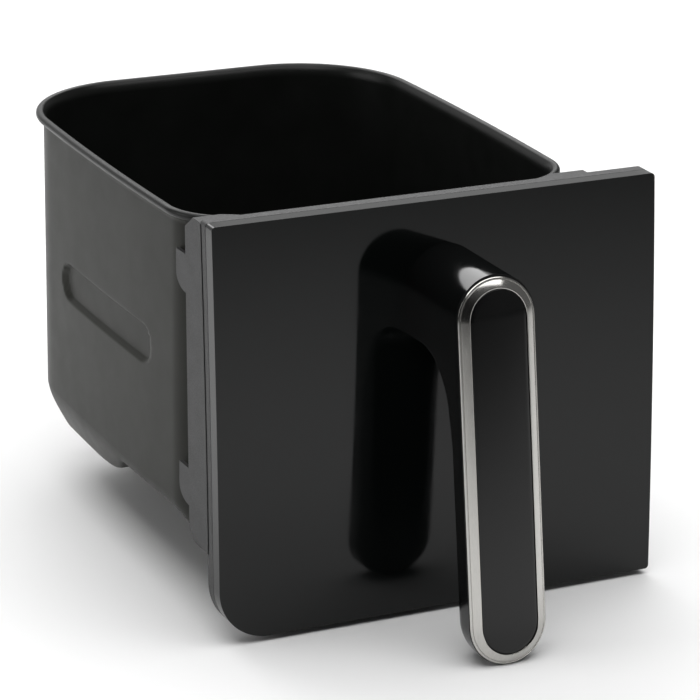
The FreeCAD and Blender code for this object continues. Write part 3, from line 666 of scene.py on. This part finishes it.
def stadium(inset, out):
    """The bar's round-ended outline drawn in by `inset`, at a height over its face."""
    r = BAR_WIDTH / 2 - inset
    low = BAR_WIDTH / 2
    high = BAR_LENGTH - BAR_WIDTH / 2
    ring = []
    for k in range(END_ARC_STEPS + 1):
        angle = math.pi * k / END_ARC_STEPS
        ring.append(on_bar(r * math.cos(angle), high + r * math.sin(angle), out))
    for k in range(1, BAR_SIDE_STEPS):
        ring.append(on_bar(-r, high + (low - high) * k / BAR_SIDE_STEPS, out))
    for k in range(END_ARC_STEPS + 1):
        angle = math.pi + math.pi * k / END_ARC_STEPS
        ring.append(on_bar(r * math.cos(angle), low + r * math.sin(angle), out))
    for k in range(1, BAR_SIDE_STEPS):
        ring.append(on_bar(r, low + (high - low) * k / BAR_SIDE_STEPS, out))
    return ring


def bar_face_y(z):
    """Y of the bar's leaning face at a height."""
    return BAR_FOOT_Y + math.tan(BAR_LEAN) * z


def handle_back(z, edge):
    """Y of the handle's back at a height, `edge` millimetres inside its outline."""
    back = bar_face_y(z) + BAR_THICK / math.cos(BAR_LEAN)
    arch_low = NECK_BOTTOM - ARCH_R
    if z > arch_low:
        start = bar_face_y(arch_low) + BAR_THICK / math.cos(BAR_LEAN)
        rise = min(z - arch_low, ARCH_R)
        back = start + ARCH_R - math.sqrt(max(ARCH_R ** 2 - rise ** 2, 0.0))
    radius = BAR_BACK_R - (BAR_BACK_R - NECK_R) * smoothstep(arch_low - NECK_BLEND, NECK_BOTTOM, z)
    if edge < radius:
        back -= radius - math.sqrt(max(radius ** 2 - (radius - edge) ** 2, 0.0))
    return back


def make_handle_shell():
    """Bar and neck as one skin: a grid of rows up the handle and columns round its back."""
    half = BAR_WIDTH / 2
    arch_low = NECK_BOTTOM - ARCH_R
    rows = [half * (1 - math.cos(math.radians(90 * k / 16))) for k in range(1, 17)]
    rows += [half + (arch_low - half) * k / 16 for k in range(1, 17)]
    rows += [arch_low + ARCH_R * math.sin(math.radians(90 * k / 14)) for k in range(1, 15)]
    neck = [NECK_BOTTOM + (NECK_TOP - half - NECK_BOTTOM) * k / 6 for k in range(7)]
    neck += [NECK_TOP - half + half * math.sin(math.radians(90 * k / 16)) for k in range(1, 16)]
    columns = SHELL_COLUMNS
    points = []
    faces = []

    def half_width(z):
        """Half the shell's width at a height, with its round ends."""
        if z < half:
            return math.sqrt(half * half - (half - z) ** 2)
        if z > NECK_TOP - half:
            return math.sqrt(half * half - (z - NECK_TOP + half) ** 2)
        return half

    def bar_back(x, z):
        """Y of the bar's rounded back."""
        edge = half - math.hypot(x, half - z) if z < half else half - abs(x)
        return handle_back(z, max(edge, 0.0))

    def neck_back(x, z):
        """Y of the neck's end, just inside the panel."""
        return panel_y(z) + NECK_BITE

    def add_row(z, back_of):
        """One closed row: the flat face in front and `columns` points round the back."""
        w = half_width(z)
        row = [(HANDLE_X - w, bar_face_y(z), z)]
        for k in range(columns):
            x = -w * math.cos(math.pi * k / (columns - 1))
            row.append((HANDLE_X + x, max(back_of(x, z), bar_face_y(z) + SHELL_EDGE), z))
        row.append((HANDLE_X + w, bar_face_y(z), z))
        points.extend(row)

    for z in rows:
        add_row(z, bar_back)
    for z in neck:
        add_row(z, neck_back)
    count = columns + 2
    total = len(rows) + len(neck)
    for k in range(total - 1):
        faces += ring_faces(k * count, (k + 1) * count, count)
    faces.append(tuple(reversed(range(count))))
    faces.append(tuple(range((total - 1) * count, total * count)))
    shell = new_object("handle_body", points, faces)
    outward(shell)
    bevel(shell, 0.5, 2, 55)
    return shell


def make_trim_ring():
    """Brushed ring round the bar's face: outer bevel, fine groove, wide cone and a bright inner edge."""
    profile = ((RING_INSET, 0.0), (0.3, 0.45), (0.55, 0.75), (0.95, 0.85), (1.05, 0.62), (1.25, 0.62),
               (1.35, 0.9), (4.0, 2.5), (4.25, 2.58), (4.5, 2.5), (4.5, 0.4), (4.5, 0.0))
    ring = loft("trim_ring", [stadium(inset, out) for inset, out in (*profile, profile[0])], False)
    bevel(ring, 0.06, 2, 20)
    return ring


def make_insert_piece():
    """Crowned inlay inside the ring."""
    crown_start = INLAY_INSET + INLAY_ROUND
    crown_width = BAR_WIDTH / 2 - crown_start - INLAY_HUB
    profile = [(INLAY_INSET, 0.0), (INLAY_INSET, 1.9), (INLAY_INSET + 0.1, 2.2), (crown_start, INLAY_HIGH)]
    for k in range(1, INLAY_STEPS + 1):
        t = k / INLAY_STEPS
        profile.append((crown_start + crown_width * t, INLAY_HIGH + INLAY_CROWN * (1 - (1 - t) ** 2)))
    return loft("handle_inlay", [stadium(inset, out) for inset, out in profile], True)


# ---- CAD nodes that stay ---------------------------------------------------------------------------

def dress(node, material, edge):
    """Gives a CAD node its material, joins its split corners and rounds its edges by `edge`."""
    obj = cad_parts[node]
    obj.data.materials.clear()
    obj.data.materials.append(material)
    weld = obj.modifiers.new("weld", "WELD")
    weld.merge_threshold = 0.00001
    bevel(obj, edge, 2, 40)


# ---- stage -----------------------------------------------------------------------------------------

FLOOR_HALF = 4.0             # metres


def make_stage():
    """A plain pale floor."""
    mesh = bpy.data.meshes.new("floor")
    corners = [(x * FLOOR_HALF, y * FLOOR_HALF, 0) for x, y in ((-1, -1), (1, -1), (1, 1), (-1, 1))]
    mesh.from_pydata(corners, [], [(0, 1, 2, 3)])
    floor = bpy.data.objects.new("floor", mesh)
    bpy.context.scene.collection.objects.link(floor)
    floor.data.materials.append(new_material("floor_white", (0.86, 0.86, 0.86), 0.85, specular=0.2)[0])


def area_light(name, place_at, target, size, power):
    """A white softbox that faces its target; places and sizes in metres, power in watts."""
    data = bpy.data.lights.new(name, "AREA")
    data.shape = "RECTANGLE"
    data.size, data.size_y = size
    data.energy = power
    light = bpy.data.objects.new(name, data)
    bpy.context.scene.collection.objects.link(light)
    light.location = place_at
    light.visible_camera = False
    light.rotation_euler = (Vector(target) - Vector(place_at)).to_track_quat("-Z", "Y").to_euler()


def make_world():
    """Even grey surroundings that fall off to dark in front on the left."""
    world = bpy.data.worlds.new("studio")
    world.use_nodes = True
    nodes, links = world.node_tree.nodes, world.node_tree.links
    coords = nodes.new("ShaderNodeTexCoord")
    toward = nodes.new("ShaderNodeVectorMath")
    toward.operation = "DOT_PRODUCT"
    toward.inputs[1].default_value = (-0.7, -0.7, 0.1)
    links.new(coords.outputs["Generated"], toward.inputs[0])
    shade = ramp(world, toward.outputs["Value"], ((0.35, 0.15), (0.85, 0.015)))
    links.new(shade, nodes["Background"].inputs["Color"])
    bpy.context.scene.world = world


def make_lights():
    """Four softboxes in a dim studio."""
    make_world()
    area_light("top_softbox", (0.0, -0.2, 0.95), (0, -0.1, 0), (1.3, 1.1), 12.0)
    area_light("rear_wash", (0.3, 1.4, 1.3), (0.3, 1.3, 0), (2.2, 1.4), 30.0)
    area_light("back_softbox", (0.0, 2.4, 1.0), (0, 0, 0.25), (4.0, 1.9), 14.0)
    area_light("left_softbox", (-1.3, 0.25, 0.55), (0, 0.02, 0.08), (0.8, 0.8), 4.0)


# ---- camera ----------------------------------------------------------------------------------------

CAMERA_YAW = math.radians(25.445)
CAMERA_PITCH = math.radians(19.288)
CAMERA_ROLL = math.radians(0.826)
CAMERA_LENS = 175.45
CAMERA_DISTANCE = 1362.85
CAMERA_RIGHT = 20.72         # how far the aim point sits right of and under the middle of the picture
CAMERA_DOWN = 18.03
AIM = (0.0, 38.0, 78.4)      # just behind the pan's front wall


def make_camera():
    """The camera at the picture's viewing angle."""
    forward = Vector((math.sin(CAMERA_YAW) * math.cos(CAMERA_PITCH),
                      math.cos(CAMERA_YAW) * math.cos(CAMERA_PITCH), -math.sin(CAMERA_PITCH)))
    right = Vector((math.cos(CAMERA_YAW), -math.sin(CAMERA_YAW), 0.0))
    up = right.cross(forward)
    right_rolled = right * math.cos(CAMERA_ROLL) + up * math.sin(CAMERA_ROLL)
    up_rolled = up * math.cos(CAMERA_ROLL) - right * math.sin(CAMERA_ROLL)
    data = bpy.data.cameras.new("camera")
    data.lens = CAMERA_LENS
    data.sensor_width = 36.0
    camera = bpy.data.objects.new("camera", data)
    bpy.context.scene.collection.objects.link(camera)
    offset = right_rolled * -CAMERA_RIGHT + up_rolled * CAMERA_DOWN - forward * CAMERA_DISTANCE
    spot = place(*AIM) + offset * MM
    turn = Matrix((right_rolled, up_rolled, -forward)).transposed()
    camera.matrix_world = Matrix.Translation(spot) @ turn.to_4x4()
    bpy.context.scene.camera = camera
    bpy.context.scene.view_settings.view_transform = "Standard"


# ---- everything together ---------------------------------------------------------------------------

make_camera()
make_stage()
make_lights()

coating = make_coating("coating_outside", (0.0225, 0.023, 0.020), (0.0255, 0.026, 0.0225), 0.37, 0.42, 0.09)
coating_inside = make_coating("coating_inside", (0.005, 0.0055, 0.005), (0.007, 0.0075, 0.007), 0.28, 0.36,
                              0.22)
plate_coating = make_coating("coating_plate", (0.012, 0.012, 0.012), (0.02, 0.02, 0.019), 0.32, 0.45, 0.45)
gloss = make_gloss_panel()
frame_plastic = make_fine_texture("frame_matte", (0.018, 0.018, 0.0185), (0.03, 0.03, 0.031), 0.55)
grip = make_handle_plastic()
steel = make_brushed_metal("plated_steel", (0.5, 0.5, 0.51), 0.32, (1.0, 1.0, 18.0))
trim = make_brushed_metal("satin_trim", (0.55, 0.54, 0.515), 0.13, (14.0, 1.0, 0.8), 500.0)
inlay = make_inlay()
felt = make_felt()
silicone = make_rubber()

make_pan(coating, coating_inside)

panel = panel_slab("panel_front", 0.0, PANEL_THICK - PANEL_SEAM, 0.55)
finish_piece(panel, gloss, "front_panel")
frame_pieces = (
    panel_slab("frame_flange", PANEL_THICK + PANEL_SEAM, PANEL_THICK + FLANGE_DEPTH, 0.5),
    make_collar(-1, COLLAR_LEFT),
    make_collar(1, COLLAR_RIGHT),
)
for piece in frame_pieces:
    finish_piece(piece, frame_plastic, "panel_frame")

finish_piece(make_handle_shell(), grip, "handle_shell")
finish_piece(make_trim_ring(), trim, "handle_trim_ring")
finish_piece(make_insert_piece(), inlay, "handle_insert")

STEEL_NODES = ("pan_bracket", "bracket_screws", "heat_shield", "panel_screws", "handle_core",
               "carrier_screws", "handle_bolts", "handle_washers")
for node in STEEL_NODES:
    dress(node, steel, 0.2)
dress("insulation_pad", felt, 0.4)
dress("handle_carrier", grip, 0.2)
dress("crisper_plate", plate_coating, 0.3)
for number in range(1, 5):
    dress("crisper_bumper_%d" % number, silicone, 0.4)
